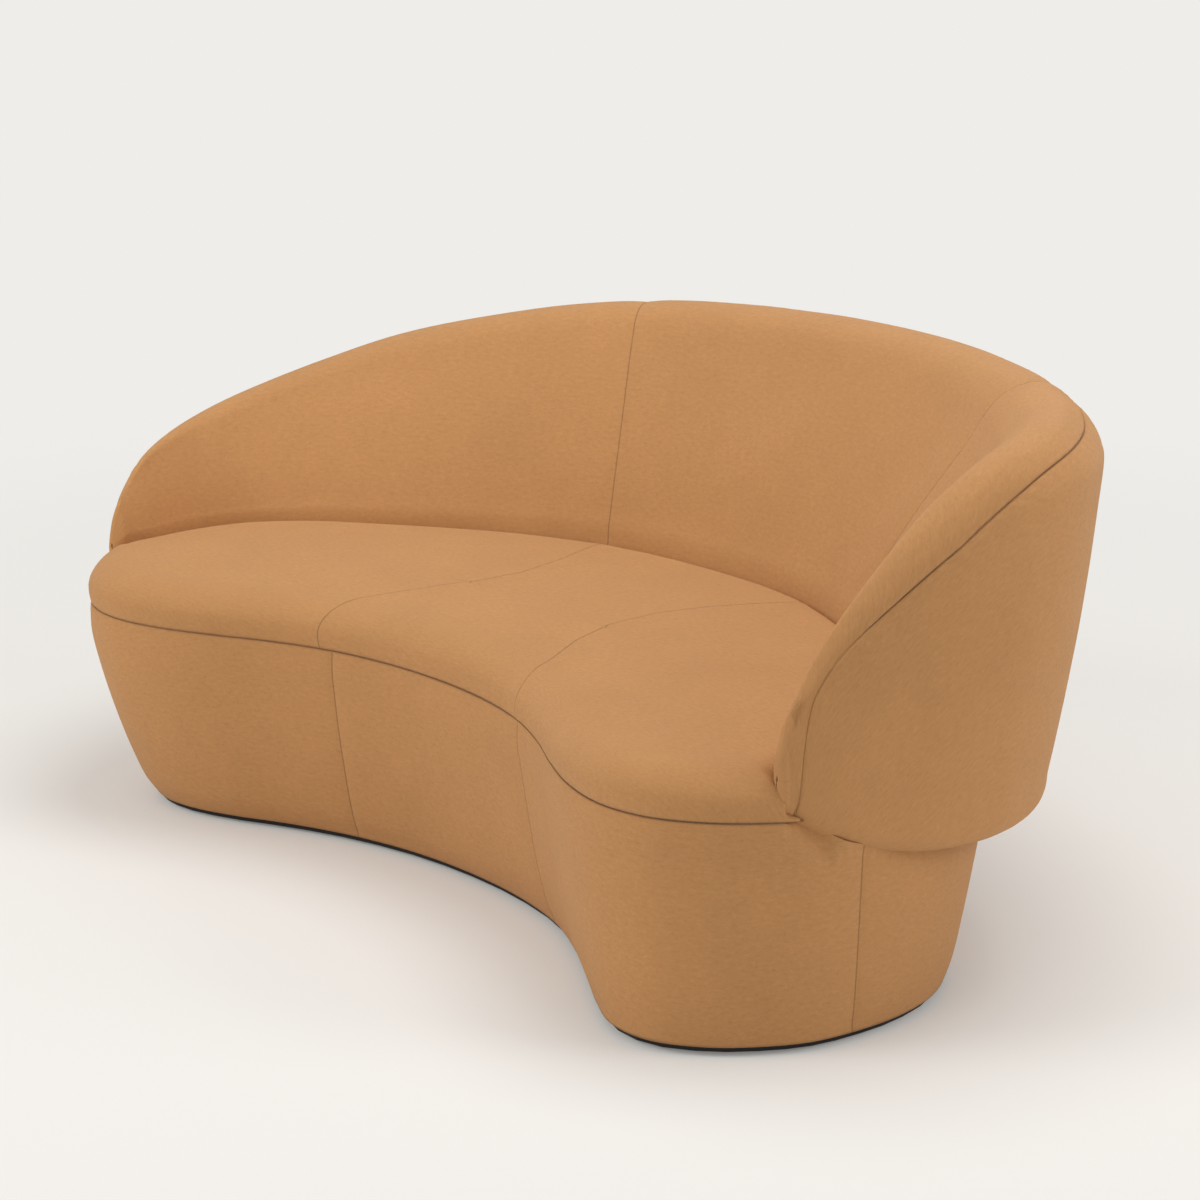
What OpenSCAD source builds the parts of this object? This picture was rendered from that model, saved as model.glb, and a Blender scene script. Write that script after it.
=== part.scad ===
// Three-seater sofa with a kidney-shaped seat and a wrap-round backrest.
// Origin: middle of the footprint, on the floor. +X is the sitter's left
// (the viewer's right), the open front faces -Y, +Z is up. Millimetres.

/* [Overall] */
// width over the two arms
sofa_w = 1852; // [1600:1:2300]
// depth from the front of the lobes to the back of the ridge
sofa_d = 1166; // [1000:1:1350]
// height of the back ridge at the middle
back_h = 802; // [700:1:950]
// height of the seat surface at its edge
seat_h = 420; // [400:1:460]

/* [Seat] */
// height of the seam between seat and base
seam_h = 345; // [335:1:365]
// extra height of the seat crown at its middle
crown = 9; // [0:1:25]
// how far the flat top is set in from the seam line
shoulder = 72; // [50:1:85]
// gap between neighbouring seat pads at a sewn joint
joint_gap = 0.8; // [0.5:0.1:3]

/* [Base] */
// height of the plinth under the upholstery
plinth_h = 18; // [12:1:30]
// how far the plinth is set in from the lower edge of the upholstery
plinth_in = 8; // [4:1:20]
// width of the plinth ring
plinth_w = 60; // [40:1:90]
// thickness of the floor board
board_t = 15; // [12:1:18]
// thickness of the seat deck
deck_t = 18; // [12:1:22]
// height of the top of the seat deck
deck_z = 284; // [270:1:286]
// how far the seat deck is set in from the seam line
deck_in = 58; // [52:1:66]
// how far the rim board is set in from the seam line
frame_in = 118; // [108:1:130]
// thickness of the bent rim board
rim_t = 12; // [9:1:16]
// thickness of the cross ribs
rib_t = 18; // [12:1:24]
// how far the side padding is drawn in at the floor
tuck = 92; // [70:1:104]

/* [Backrest] */
// half the thickness of the padded ridge
ridge_r = 88; // [60:1:100]
// thickness of the bent back shell
shell_t = 10; // [8:1:14]
// thickness of the outer back panel with its padding
panel_t = 26; // [20:1:32]
// width of a back post
post_w = 32; // [24:1:44]
// height of the base rail that the posts stand on
rail_h = 30; // [22:1:36]

/* [Glides and fixings] */
// diameter of a floor glide
glide_d = 34; // [24:1:44]
// height of a floor glide below the plinth
glide_h = 4; // [3:1:10]
// diameter of the frame bolts
bolt_d = 8; // [6:1:10]
// width of the seat webbing
web_w = 50; // [40:1:60]
// thickness of the seat webbing
web_t = 1.5; // [1:0.1:2.5]

/* [Hidden] */
// clearance at a fit between two pieces
fit = 0.4;
// small overlap used only to cut cleanly
eps = 1;
// width and depth that the outline points below are drawn for
draw_w = 1852;
draw_d = 1166;
kx = sofa_w / draw_w;
ky = sofa_d / draw_d;
// y of the footprint's middle in the drawing's own frame
y_mid = 415 * ky;
// bottom of the upholstery and top of the floor board
z_plinth = glide_h;
z_board = glide_h + plinth_h;
z_board_top = z_board + board_t;
z_deck = deck_z - deck_t;
// samples round the seat outline and along the backrest
nu = 72;
ns = 40;

// seam outline of the seat, front middle to back middle, viewer's right half
half_seam = [
  [0, 28], [122, 20], [240, -6], [345, -50], [440, -102], [530, -143],
  [620, -163], [705, -150], [778, -104], [832, -42], [868, 24], [884, 104],
  [886, 190], [872, 280], [836, 366], [776, 448], [688, 530], [560, 614],
  [400, 688], [210, 742], [0, 760]
];

// how strongly the base tapers at each of those points, right and left half
taper_right = [0.6, 0.6, 0.6, 0.55, 0.5, 0.35, 0.1, -0.05, -0.05, 0, 0.05, 0.1, 0.15, 0.25,
  0.4, 0.6, 0.8, 1, 1, 1, 1];
taper_left = [0.6, 0.6, 0.6, 0.65, 0.7, 0.8, 0.95, 1.05, 1.15, 1.15, 1.1, 1.05, 1, 1, 1,
  1, 1, 1, 1, 1, 1];

// backrest, back middle to arm tip: inner foot x y, outer foot x y,
// ridge offset, lower edge z, ridge z on the right, ridge z on the left,
// ridge thickness factor
half_back = [
  [0, 620, 0, 880, 290, 268, 802, 802, 1],
  [178, 608, 222, 858, 286, 268, 804, 796, 1],
  [340, 556, 438, 790, 276, 267, 806, 783, 1],
  [485, 476, 630, 690, 258, 266, 816, 750, 0.98],
  [610, 388, 780, 568, 234, 265, 825, 710, 0.93],
  [706, 305, 880, 452, 204, 264, 828, 662, 0.84],
  [768, 228, 924, 335, 162, 264, 810, 621, 0.72],
  [798, 155, 924, 222, 117, 268, 756, 592, 0.58],
  [806, 90, 904, 126, 78, 284, 678, 568, 0.42],
  [806, 32, 880, 42, 46, 312, 586, 532, 0.27],
  [815, -18, 848, -26, 16, 356, 470, 466, 0.08]
];

// smooth curve through a list of points
function at(p, i) = p[max(0, min(len(p) - 1, i))];
function spline(p, t) =
  let (i = min(len(p) - 2, floor(t)), f = t - i,
       a = at(p, i - 1), b = at(p, i), c = at(p, i + 1), d = at(p, i + 2))
  0.5 * (2 * b + (c - a) * f + (2 * a - 5 * b + 4 * c - d) * f * f
         + (3 * b - 3 * c + d - a) * f * f * f);
function spline_m(p, t) =
  let (i = min(len(p) - 2, floor(t)), f = t - i,
       b = p[i], c = p[i + 1],
       a = i > 0 ? p[i - 1] : flip_x(p[1]),
       d = i + 2 < len(p) ? p[i + 2] : flip_x(p[len(p) - 2]))
  0.5 * (2 * b + (c - a) * f + (2 * a - 5 * b + 4 * c - d) * f * f
         + (3 * b - 3 * c + d - a) * f * f * f);
function flip_x(v) = [for (i = [0 : len(v) - 1]) i == 0 ? -v[i] : v[i]];
function unit2(v) = v / norm(v);

// seat outline at seam height: u runs 0..1 from front middle by the right
function seam_pt(u) =
  let (w = u - floor(u), n = len(half_seam) - 1,
       q = w <= 0.5 ? spline_m(half_seam, w * 2 * n)
                    : flip_x(spline_m(half_seam, (1 - w) * 2 * n)))
  [q[0] * kx, q[1] * ky];
seam_ring = [for (i = [0 : nu - 1]) seam_pt(i / nu)];
seam_out = [for (i = [0 : nu - 1])
  let (a = seam_ring[(i + nu - 1) % nu], b = seam_ring[(i + 1) % nu],
       t = unit2(b - a))
  [t[1], -t[0]]];
function taper_at(u) =
  let (w = u - floor(u), n = len(taper_left) - 1)
  w <= 0.5 ? spline(taper_right, w * 2 * n) : spline(taper_left, (1 - w) * 2 * n);
taper = [for (i = [0 : nu - 1]) taper_at(i / nu)];
function ring_in(d) = [for (i = [0 : nu - 1]) seam_ring[i] - seam_out[i] * d];

// middle line of the seat, used to close its crown
function spine_pt(i) =
  let (p = seam_ring[i], x = max(-560 * kx, min(560 * kx, p[0])))
  [x, (235 - 130 * pow(x / (560 * kx), 2)) * ky];

// one station of the backrest
// the same row on the other side of the middle
function flip_row(v) = [-v[0], v[1], -v[2], v[3], v[4], v[5], v[7], v[6], v[8]];
back_table = concat([flip_row(half_back[1])], half_back);
function back_row(s) = spline(back_table, abs(s) * (len(half_back) - 1) + 1);
function station(s) =
  let (r = back_row(s), g = s < 0 ? -1 : 1,
       j = [g * r[0] * kx, r[1] * ky], b = [g * r[2] * kx, r[3] * ky],
       d = unit2(b - j), k = norm(b - j) / norm([r[2] - r[0], r[3] - r[1]]),
       zt0 = s < 0 ? r[7] : r[6],
       zt = seat_h + (zt0 - 420) * (back_h - seat_h) / (802 - 420),
       zb = zt0 > 0 ? r[5] + (seat_h - 420) * max(0, min(1, (r[5] - 268) / 60)) : 0)
  [j, d, norm(b - j), r[4] * k, zb, zt, ridge_r * r[8]];
// a point of a station's section in space
function put(q, r, z) = [q[0][0] + q[1][0] * r, q[0][1] + q[1][1] * r, z];

// triangles that fill a flat outline, by cutting off one corner at a time
function turn(a, b, c) = (b[0] - a[0]) * (c[1] - a[1]) - (b[1] - a[1]) * (c[0] - a[0]);
function holds(a, b, c, p) = turn(a, b, p) > -1e-6 && turn(b, c, p) > -1e-6 && turn(c, a, p) > -1e-6;
function is_ear(p, ix, i) =
  let (n = len(ix), a = ix[(i + n - 1) % n], b = ix[i], c = ix[(i + 1) % n])
  turn(p[a], p[b], p[c]) > 1e-6
    && len([for (k = ix) if (k != a && k != b && k != c && holds(p[a], p[b], p[c], p[k])) k]) == 0;
function first_ear(p, ix, i = 0) = i >= len(ix) ? 0 : is_ear(p, ix, i) ? i : first_ear(p, ix, i + 1);
function fill(p, ix) = len(ix) == 3 ? [ix]
  : let (n = len(ix), i = first_ear(p, ix), a = ix[(i + n - 1) % n], c = ix[(i + 1) % n])
    concat([[a, ix[i], c]], fill(p, [for (k = [0 : n - 1]) if (k != i) ix[k]]));
function area2(p) = let (n = len(p))
  [for (i = [0 : n - 1]) p[i][0] * p[(i + 1) % n][1] - p[(i + 1) % n][0] * p[i][1]]
  * [for (i = [0 : n - 1]) 1];
// triangles for a section's outline, whichever way round it is listed
function fill_any(p) = let (n = len(p), up = area2(p) > 0)
  fill(p, [for (i = [0 : n - 1]) up ? i : n - 1 - i]);
function turned(t) = [t[0], t[2], t[1]];
// triangles across a seat outline: front points pair with back points
function across(n) = let (h = n / 2, q = n / 4)
  concat([for (i = [0 : q - 1]) let (a = i, b = i + 1, c = h - 1 - i, d = h - i)
      each (b == c ? [[a, c, d]] : [[a, b, c], [a, c, d]])],
    [for (i = [0 : q - 1]) let (a = (n - i) % n, b = n - i - 1, c = h + 1 + i, d = h + i)
      each (b == c ? [[a, d, c]] : [[a, c, b], [a, d, c]])]);
// triangles between rings that all have the same number of points; a piece that lies
// against another one is split along the other diagonal, so that both bend alike
function between(m, n, back = false) = [for (k = [0 : m - 2], i = [0 : n - 1])
  let (j = (i + 1) % n, a = k * n + i, b = k * n + j, c = (k + 1) * n + j, e = (k + 1) * n + i)
  each back ? [[a, b, e], [b, c, e]] : [[a, b, c], [a, c, e]]];
// closed skin through level rings, lowest first
module stack(rings) {
  m = len(rings);
  n = len(rings[0]);
  top = across(n);
  polyhedron([for (r = rings) each r],
    concat([for (t = between(m, n)) turned(t)], top,
      [for (t = top) [(m - 1) * n + t[0], (m - 1) * n + t[2], (m - 1) * n + t[1]]]),
    convexity = 10);
}
// closed skin through sections set at stations, sections listed face side first
module loft(stations, sections, back = false) {
  m = len(sections);
  n = len(sections[0]);
  c0 = fill_any(sections[0]);
  c1 = fill_any(sections[m - 1]);
  polyhedron([for (k = [0 : m - 1]) each [for (p = sections[k]) put(stations[k], p[0], p[1])]],
    concat(between(m, n, back), c0,
      [for (t = c1) [(m - 1) * n + t[0], (m - 1) * n + t[2], (m - 1) * n + t[1]]]),
    convexity = 10);
}

// ring of the seat outline at an inset and a height, and one that tapers
function level(d, z) = [for (p = ring_in(d)) [p[0], p[1], z]];
function tapered(d, z) = [for (i = [0 : nu - 1])
  let (p = seam_ring[i] - seam_out[i] * d * (d > 0 ? taper[i] + (1 - taper[i]) * 0.12 : 1))
  [p[0], p[1], z]];

// seat and base outer forms, from inset and height pairs
base_profile = [
  [tuck, z_board + fit], [tuck * 0.88, z_board + 5], [tuck * 0.74, z_board + 20],
  [tuck * 0.58, z_board + 50], [tuck * 0.38, z_board + 95], [tuck * 0.17, z_board + 155],
  [tuck * 0.02, seam_h - 110], [-4, seam_h - 55], [-3, seam_h - 20],
  [0, seam_h - 6], [4, seam_h - fit]
];
seat_profile = [
  [4, seam_h + fit], [-2, seam_h + 5], [-4, seam_h + 14],
  [0, seat_h - (seat_h - seam_h) * 0.6], [10, seat_h - (seat_h - seam_h) * 0.35],
  [26, seat_h - (seat_h - seam_h) * 0.14], [46, seat_h - 3],
  [shoulder, seat_h]
];

module base_form() {
  stack([for (q = base_profile) tapered(q[0], q[1])]);
}

// share of the way from the shoulder to the middle line, and its height
crown_steps = [[0.16, 0.35], [0.42, 0.75], [0.72, 0.95]];
module seat_form() {
  top = level(shoulder, seat_h);
  stack(concat([for (q = seat_profile) level(q[0], q[1])],
    [for (c = crown_steps) [for (i = [0 : nu - 1])
      let (m = spine_pt(i))
      [top[i][0] + (m[0] - top[i][0]) * c[0], top[i][1] + (m[1] - top[i][1]) * c[0],
       seat_h + crown * c[1]]]]));
}

// flat plate that follows the seat outline at an inset
module plate(d, z, t) {
  translate([0, 0, z]) linear_extrude(t) polygon(ring_in(d));
}

// sections of the backrest, all in offset from the inner foot and height
function z_foot(q) = max(deck_z + fit, q[4] + 4);
function z_sew(q) = q[5] - q[6] - 34;
// inner face at height z
function face_in(q, z) =
  let (f = max(0, min(1, (z - seat_h) / (q[5] - q[6] - seat_h))))
  f * (q[3] - q[6]) - 14 * sin(180 * f) * min(1, q[6] / 60);
// outer face at height z
function face_out(q, z) =
  let (f = max(0, min(1, (z - q[4] - 44) / (q[5] - q[6] - q[4] - 44))))
  q[2] + f * (q[3] + q[6] - q[2]) + 8 * sin(180 * f) * min(1, q[6] / 60);
function shell_r(q, z) =
  let (f = max(0, min(1, (z - deck_z) / (z_sew(q) - deck_z))))
  34 * min(1, q[2] / 200) * (1 - f) + (q[3] - 14) * f;

ridge_steps = [[-0.94, 0.34], [-0.72, 0.70], [-0.38, 0.925], [0, 1],
               [0.38, 0.925], [0.72, 0.70], [0.94, 0.34]];
face_steps = [0.06, 0.25, 0.5, 0.75, 1];
function ridge_arc(q, g) = [for (a = ridge_steps)
  [q[3] + (q[6] + g) * a[0], q[5] - q[6] + (q[6] + g) * a[1]]];

// whole section, grown by g: used for the arms and to cut the seat round them
function whole(q, g) = concat(
  [[-g, z_foot(q) - g], [-g, seat_h - 6]],
  [for (f = face_steps) let (z = seat_h + f * (q[5] - q[6] - seat_h))
    [face_in(q, z) - g, z]],
  ridge_arc(q, g),
  [for (f = [1, 0.75, 0.5, 0.25, 0])
    let (z = q[4] + 44 + f * (q[5] - q[6] - q[4] - 44)) [face_out(q, z) + g, z]],
  lip(q, g),
  [[q[2] - lip_w(q) - g, z_foot(q) - g]]);
function lip_w(q) = min(46, q[2] * 0.7);
function lip(q, g) = let (w = lip_w(q)) [
  [q[2] - w * 0.04 + g, q[4] + 24], [q[2] - w * 0.2 + g, q[4] + 8],
  [q[2] - w * 0.5, q[4] - g], [q[2] - w * 0.85 - g, q[4] + 3 - g],
  [q[2] - w - g, min(z_foot(q) - g, q[4] + 14)]];

// inner pad: seat side, over the ridge, down to the seam on the outside
function pad_in(q) = concat(
  [[fit, z_foot(q)], [fit, seat_h - 6]],
  [for (f = face_steps) let (z = seat_h + f * (q[5] - q[6] - seat_h))
    [face_in(q, z), z]],
  ridge_arc(q, 0),
  [[q[3] + q[6], q[5] - q[6]], [q[3] + q[6] - 3, z_sew(q) + fit],
   [shell_r(q, z_sew(q)) - fit, z_sew(q) + fit],
   [shell_r(q, 0.5 * (z_sew(q) + deck_z)) - fit, 0.5 * (z_sew(q) + deck_z)],
   [shell_r(q, deck_z) - fit, z_foot(q)]]);

// outer panel: from the seam on the outside down to the rolled lower edge
function pad_out(q) = concat(
  [for (f = [1, 0.66, 0.33, 0])
    let (z = q[4] + 44 + f * (z_sew(q) - q[4] - 44)) [face_out(q, z) - (f == 1 ? 3 : 0), z]],
  lip(q, 0),
  [for (f = [0, 0.5, 1])
    let (z = q[4] + 60 + f * (z_sew(q) - q[4] - 60)) [face_out(q, z) - panel_t, z]]);

// bent shell behind the inner pad
function shell(q) = let (zm = 0.5 * (z_sew(q) + deck_z)) [
  [shell_r(q, deck_z), deck_z + fit], [shell_r(q, zm), zm],
  [shell_r(q, z_sew(q)), z_sew(q) - fit], [shell_r(q, z_sew(q)) + shell_t, z_sew(q) - fit],
  [shell_r(q, zm) + shell_t, zm], [shell_r(q, deck_z) + shell_t, deck_z + fit]];

// seams, joints and posts along the backrest, as shares of its half length
seam_s = 0.18;
panel_s = 0.36;
arm_s = 0.70;
rail_end = 0.62;
post_at = [0.2, 0.4, 0.6];
// stations that every swept piece shares, so that nested faces never cross
half_marks = [0, seam_s, post_at[0], panel_s, post_at[1], post_at[2], rail_end, arm_s, 1];
half_marks_all = concat([0], [for (i = [1 : len(half_marks) - 1])
  let (a = half_marks[i - 1], b = half_marks[i], n = max(1, ceil((b - a) * ns / 2 - 0.2)))
  each [for (k = [1 : n]) a + (b - a) * k / n]]);
marks = concat([for (i = [len(half_marks_all) - 1 : -1 : 1]) -half_marks_all[i]], half_marks_all);

// sweep a kind of section between two places along the backrest
module sweep(s0, s1, kind, g = 0) {
  row = [for (s = concat([s0], [for (m = marks) if (m > s0 + 0.002 && m < s1 - 0.002) m], [s1]))
    station(s)];
  loft(row, [for (q = row) kind == 0 ? whole(q, g) : kind == 1 ? pad_in(q)
    : kind == 2 ? pad_out(q) : shell(q)], kind == 3);
}

// posts and rails behind the shell
function post_depth(q) = min(post_w, q[6] - 27);
function behind(q, z) = shell_r(q, z) + shell_t + fit;
// rail section between two heights, set against the shell
function rail(q, z0, z1) = let (t = post_depth(q)) [
  [behind(q, z0), z0], [behind(q, z1), z1], [behind(q, z1) + t, z1], [behind(q, z0) + t, z0]];
top_rail_h = 26;
z_rail_top = deck_z + fit + rail_h;
module rail_sweep(kind) {
  row = [for (m = marks) if (abs(m) < rail_end + 0.001) station(m)];
  loft(row, [for (q = row) kind == 0 ? rail(q, deck_z + fit, z_rail_top)
    : rail(q, z_sew(q) - top_rail_h - 6, z_sew(q) - 6)]);
}
// how far a post stands back so that its square edges clear the twisted shell
function stand_off(s, z) = let (w = rib_t / 3100)
  max([for (g = [-w, 0, w]) behind(station(s + g), z)]);
// one upright post, behind the shell at its station
module post(s) {
  q = station(s);
  a = atan2(q[1][1], q[1][0]);
  z0 = z_rail_top + fit;
  z1 = z_sew(q) - top_rail_h - 6 - fit;
  zm = 0.5 * (z_sew(q) + deck_z);
  t = post_depth(q);
  translate([q[0][0], q[0][1], 0]) rotate([90, 0, a])
    translate([0, 0, -rib_t / 2]) linear_extrude(rib_t)
      polygon([[stand_off(s, z0), z0], [behind(q, z0) + t, z0], [behind(q, zm) + t, zm],
               [behind(q, z1) + t, z1], [stand_off(s, z1), z1], [stand_off(s, zm), zm]]);
}
module post_pair(i) {
  for (g = [-1, 1]) post(g * post_at[i]);
}

// seams: places along the backrest and across the seat
half_gap = joint_gap / 3200;
seat_seam = [[248, -400], [248, -20], [206, 60], [168, 150], [150, 240], [158, 330],
  [192, 440], [240, 560], [280, 700]];
module seat_region(g) {
  side = [for (p = seat_seam) [g * p[0] * kx, p[1] * ky]];
  big = 1400;
  translate([g * joint_gap / 2, 0]) polygon(concat(side, [[g * big, 700 * ky], [g * big, -400 * ky]]));
}
module middle_region() {
  half = [for (p = seat_seam) [p[0] * kx - joint_gap / 2, p[1] * ky]];
  polygon(concat(half, [for (i = [len(half) - 1 : -1 : 0]) [-half[i][0], half[i][1]]]));
}
// room kept free for the backrest
module back_room() {
  sweep(-1, 1, 0, 0.5);
}
module seat_block() {
  difference() {
    union() {
      seat_form();
      plate(deck_in + fit, deck_z + fit, seam_h - deck_z + 2);
    }
    back_room();
  }
}
module base_block() {
  difference() {
    base_form();
    plate(frame_in - fit, z_board - eps, z_deck - z_board + eps);
    plate(deck_in - fit, z_deck - fit, seam_h - z_deck + eps);
    back_room();
  }
}
base_seam_x = 243 * kx;
base_seam_y = 92 * ky;
module box_region(x0, x1, y0, y1) {
  translate([x0, y0, 0]) cube([x1 - x0, y1 - y0, seam_h]);
}

// the part of the base ring that a front side pad covers, on side g
module front_zone(g, slack) {
  mirror([g < 0 ? 1 : 0, 0, 0]) {
    box_region(base_seam_x + slack, 1200, -300, base_seam_y - slack);
    box_region(base_seam_x + slack, 2.3 * base_seam_x, -300, 300);
  }
}

// frame positions
rib_x = 320 * kx;
rib_x2 = 640 * kx;
module rib(x) {
  intersection() {
    plate(frame_in + rim_t + fit, z_board_top + fit, z_deck - z_board_top - 2 * fit);
    translate([x - rib_t / 2, -300, 0]) cube([rib_t, 1400, z_deck]);
  }
}
bolt_len = 60;
head_d = 2 * bolt_d;
head_h = 5;
bolt_places = [[0, 500], [0, 580], [1, 128], [1, 510], [-1, 128], [-1, 510],
  [2, 30], [2, 130], [-2, 30], [-2, 130]];
module at_bolts() {
  for (b = bolt_places)
    translate([sign(b[0]) * (abs(b[0]) == 2 ? rib_x2 : abs(b[0]) * rib_x), b[1] * ky, 0]) children();
}
module bolt_room() {
  at_bolts() {
    translate([0, 0, deck_z - bolt_len - 2]) cylinder(d = bolt_d + 2 * fit, h = bolt_len + 4, $fn = 32);
    translate([0, 0, deck_z - head_h - fit]) cylinder(d = head_d + 2 * fit, h = head_h + 2, $fn = 32);
  }
}
// openings in the deck, left, middle and right
hole_y0 = 190 * ky;
hole_y1 = 450 * ky;
hole_list = [[-rib_x2 + 30, -rib_x - 30], [-rib_x + 30, -30], [30, rib_x - 30],
  [rib_x + 30, rib_x2 - 30]];
rebate = 26;
web_deep = 2 * web_t + 0.2;
module deck_holes() {
  for (h = hole_list) {
    translate([h[0], hole_y0, z_deck - eps]) cube([h[1] - h[0], hole_y1 - hole_y0, deck_t + 2 * eps]);
    translate([h[0] - rebate, hole_y0 - rebate, deck_z - web_deep])
      cube([h[1] - h[0] + 2 * rebate, hole_y1 - hole_y0 + 2 * rebate, web_deep + eps]);
  }
}
module webbing(cross) {
  for (h = hole_list) {
    w = h[1] - h[0];
    if (cross) {
      n = 3;
      for (k = [0 : n - 1])
        translate([h[0] + w * (k + 0.5) / n - web_w / 2, hole_y0 - rebate + 1, deck_z - web_t])
          cube([web_w, hole_y1 - hole_y0 + 2 * rebate - 2, web_t]);
    } else {
      n = 3;
      for (k = [0 : n - 1])
        translate([h[0] - rebate + 1, hole_y0 + (hole_y1 - hole_y0) * (k + 0.5) / n - web_w / 2,
                   deck_z - web_deep])
          cube([w + 2 * rebate - 2, web_w, web_t]);
    }
  }
}
// plinth: just inside the upholstery's lower edge, and wide enough to reach the floor board
function lower_edge(i) = tuck * (taper[i] + (1 - taper[i]) * 0.12);
plinth_outer = [for (i = [0 : nu - 1])
  seam_ring[i] - seam_out[i] * (lower_edge(i) + plinth_in)];
plinth_inner = [for (i = [0 : nu - 1]) seam_ring[i]
  - seam_out[i] * max(lower_edge(i) + plinth_in + plinth_w, frame_in + plinth_w / 2)];
// glides under the plinth
glide_u = [0, 0.13, 0.27, 0.42, 0.58, 0.73, 0.87];
stem_d = 8;
stem_h = 10;
module at_glides() {
  for (u = glide_u) {
    i = round(u * nu) % nu;
    p = seam_ring[i] - seam_out[i] * (lower_edge(i) + plinth_in + plinth_w / 2);
    translate([p[0], p[1], 0]) children();
  }
}

// move the drawing so that the origin is in the middle of the footprint
module place() {
  translate([0, -y_mid, 0]) children();
}
cloth = [0.75, 0.56, 0.37];
ply = [0.80, 0.66, 0.46];
steel = [0.66, 0.67, 0.69];

module floor_glides() {
  color([0.12, 0.12, 0.12]) place() at_glides() {
    cylinder(d = glide_d, h = glide_h, $fn = 48);
    cylinder(d = stem_d, h = glide_h + stem_h, $fn = 32);
  }
}
module plinth_ring() {
  color([0.08, 0.08, 0.08]) place() difference() {
    translate([0, 0, z_plinth]) linear_extrude(plinth_h) polygon(plinth_outer);
    translate([0, 0, z_plinth - eps]) linear_extrude(plinth_h + 2 * eps) polygon(plinth_inner);
    at_glides() translate([0, 0, z_plinth - eps])
      cylinder(d = stem_d + fit, h = stem_h + eps + fit, $fn = 32);
  }
}
module floor_board() {
  color(ply) place() plate(frame_in, z_board, board_t);
}
module rim_ring() {
  difference() {
    plate(frame_in, z_board_top, z_deck - z_board_top);
    plate(frame_in + rim_t, z_board_top - eps, z_deck - z_board_top + 2 * eps);
  }
}
rim_cut_y = 240 * ky;
module rim_board_front() {
  color(ply) place() intersection() {
    rim_ring();
    translate([-1200, -300, 0]) cube([2400, 300 + rim_cut_y, z_deck]);
  }
}
module rim_board_rear() {
  color(ply) place() intersection() {
    rim_ring();
    translate([-1200, rim_cut_y, 0]) cube([2400, 900, z_deck]);
  }
}
module cross_rib_middle() {
  color(ply) place() difference() {
    rib(0);
    bolt_room();
  }
}
module cross_ribs_inner() {
  color(ply) place() difference() {
    for (g = [-1, 1]) rib(g * rib_x);
    bolt_room();
  }
}
module cross_ribs_outer() {
  color(ply) place() difference() {
    for (g = [-1, 1]) rib(g * rib_x2);
    bolt_room();
  }
}
module seat_deck() {
  color(ply) place() difference() {
    plate(deck_in, z_deck, deck_t);
    deck_holes();
    bolt_room();
  }
}
module deck_bolts() {
  color(steel) place() at_bolts() {
    translate([0, 0, deck_z - bolt_len]) cylinder(d = bolt_d, h = bolt_len - head_h, $fn = 32);
    translate([0, 0, deck_z - head_h]) cylinder(d = head_d, h = head_h, $fn = 32);
  }
}
module webbing_lengthwise() {
  color([0.82, 0.80, 0.74]) place() webbing(false);
}
module webbing_crosswise() {
  color([0.78, 0.75, 0.68]) place() webbing(true);
}
module back_base_rail() {
  color(ply) place() rail_sweep(0);
}
module back_top_rail() {
  color(ply) place() rail_sweep(1);
}
module back_post_middle() {
  color(ply) place() post(0);
}
module back_posts_inner() {
  color(ply) place() post_pair(0);
}
module back_posts_side() {
  color(ply) place() post_pair(1);
}
module back_posts_outer() {
  color(ply) place() post_pair(2);
}
module back_shell() {
  color(ply) place() sweep(-arm_s, arm_s, 3);
}
module back_pad_left() {
  color(cloth) place() sweep(-arm_s + half_gap, -seam_s - half_gap, 1);
}
module back_pad_middle() {
  color(cloth) place() sweep(-seam_s + half_gap, seam_s - half_gap, 1);
}
module back_pad_right() {
  color(cloth) place() sweep(seam_s + half_gap, arm_s - half_gap, 1);
}
module arm_pad_left() {
  color(cloth) place() sweep(-1, -arm_s - half_gap, 0);
}
module arm_pad_right() {
  color(cloth) place() sweep(arm_s + half_gap, 1, 0);
}
module outer_panel_left() {
  color(cloth) place() sweep(-arm_s + half_gap, -panel_s - half_gap, 2);
}
module outer_panel_middle() {
  color(cloth) place() sweep(-panel_s + half_gap, panel_s - half_gap, 2);
}
module outer_panel_right() {
  color(cloth) place() sweep(panel_s + half_gap, arm_s - half_gap, 2);
}
module base_pad_front_middle() {
  color(cloth) place() intersection() {
    base_block();
    box_region(-base_seam_x + joint_gap / 2, base_seam_x - joint_gap / 2, -300, 300);
  }
}
module base_pad_front_left() {
  color(cloth) place() intersection() {
    base_block();
    front_zone(-1, joint_gap / 2);
  }
}
module base_pad_front_right() {
  color(cloth) place() intersection() {
    base_block();
    front_zone(1, joint_gap / 2);
  }
}
module base_pad_rear() {
  color(cloth) place() difference() {
    base_block();
    for (g = [-1, 1]) front_zone(g, -joint_gap / 2);
    box_region(-base_seam_x - 1, base_seam_x + 1, -300, 300);
  }
}
module seat_pad_left() {
  color(cloth) place() intersection() {
    seat_block();
    linear_extrude(600) seat_region(-1);
  }
}
module seat_pad_middle() {
  color(cloth) place() intersection() {
    seat_block();
    linear_extrude(600) middle_region();
  }
}
module seat_pad_right() {
  color(cloth) place() intersection() {
    seat_block();
    linear_extrude(600) seat_region(1);
  }
}

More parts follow.
